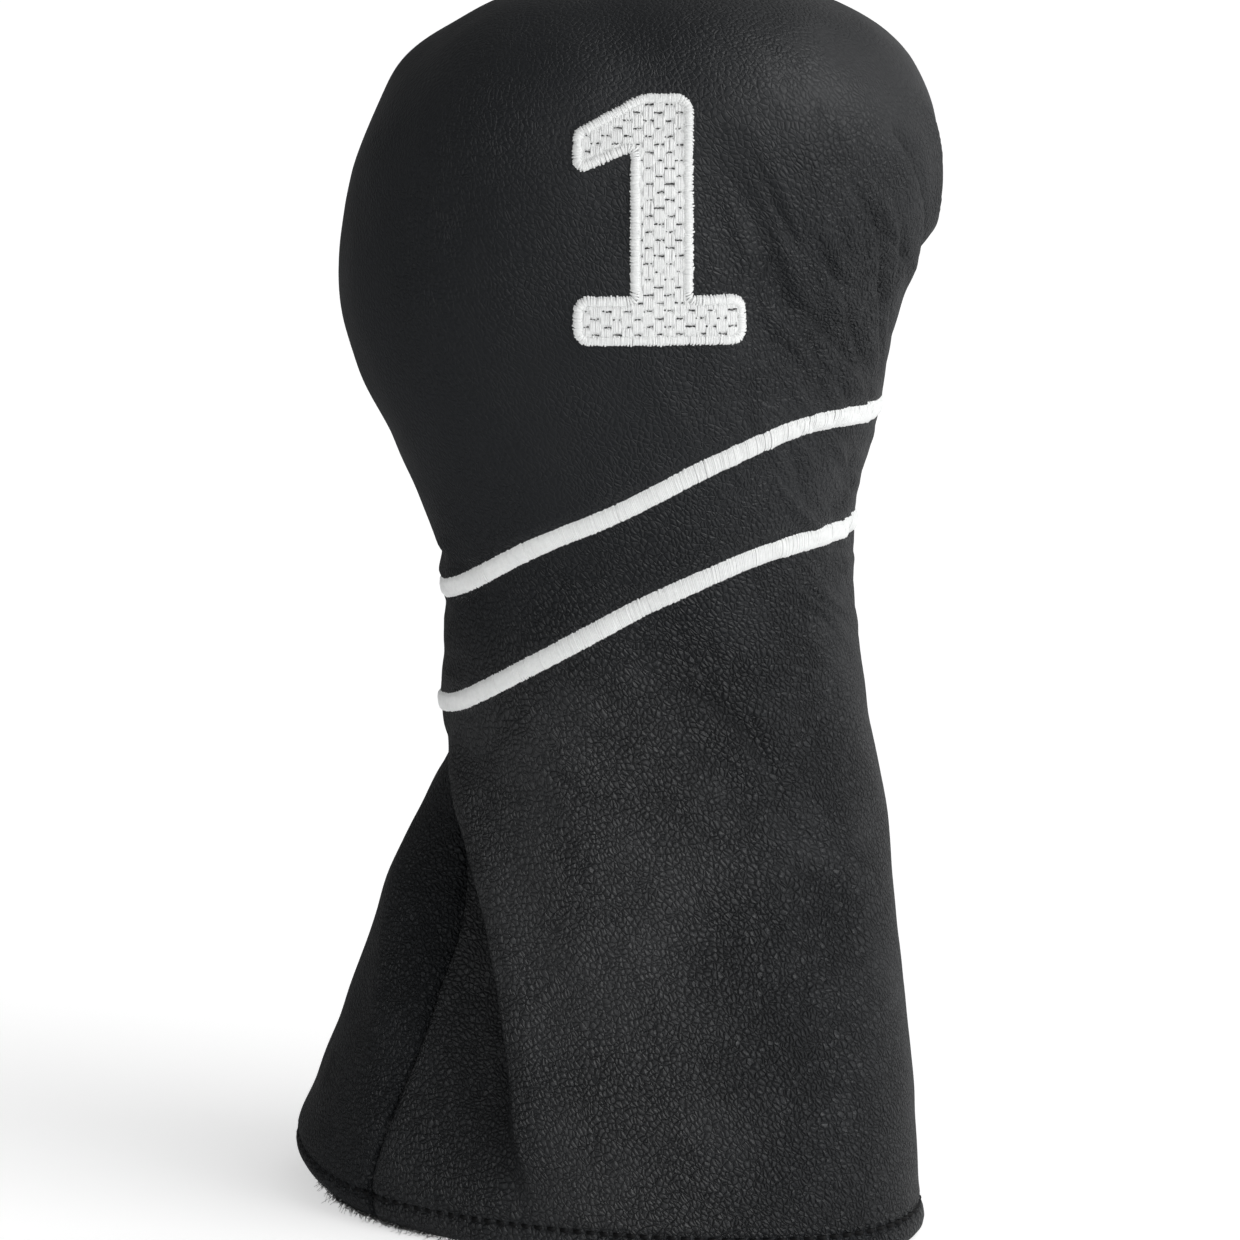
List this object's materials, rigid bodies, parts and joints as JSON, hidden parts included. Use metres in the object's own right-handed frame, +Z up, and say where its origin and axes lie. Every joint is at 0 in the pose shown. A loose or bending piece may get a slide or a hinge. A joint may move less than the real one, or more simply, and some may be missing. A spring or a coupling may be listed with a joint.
{
  "type": "golf driver head cover",
  "caption": "Padded leather head cover for a golf driver: a bulbous crown over a narrow elastic neck and a flared plush-lined sleeve, with embroidered stripes and a numeral.",
  "frame": {"origin": "on the surface it stands on, under the middle of the cover's bounding box", "axes": "+Z up from the open hem to the crown, +X to the right of the embroidered front, -Y out of the front"},
  "size_m": [0.163, 0.1241, 0.31],
  "materials": {
    "leather_black": "pebbled, semi-matt black",
    "thread_white": "satin-stitched white embroidery thread",
    "thread_black": "waxed black sewing thread",
    "plush_lining": "short grey plush",
    "foam_padding": "soft matt wadding",
    "elastic_band": "ribbed woven elastic"
  },
  "bodies": {
    "root": {"front_panel": "leather_black", "back_panel": "leather_black", "front_padding": "foam_padding", "back_padding": "foam_padding", "front_lining": "plush_lining", "back_lining": "plush_lining", "neck_elastic": "elastic_band", "closing_seam_thread": "thread_black", "hem_topstitch": "thread_black", "elastic_stitch_lower": "thread_black", "elastic_stitch_upper": "thread_black", "upper_stripe": "thread_white", "lower_stripe": "thread_white", "numeral_border": "thread_white", "numeral_fill": "thread_white"}
  },
  "joints": []
}
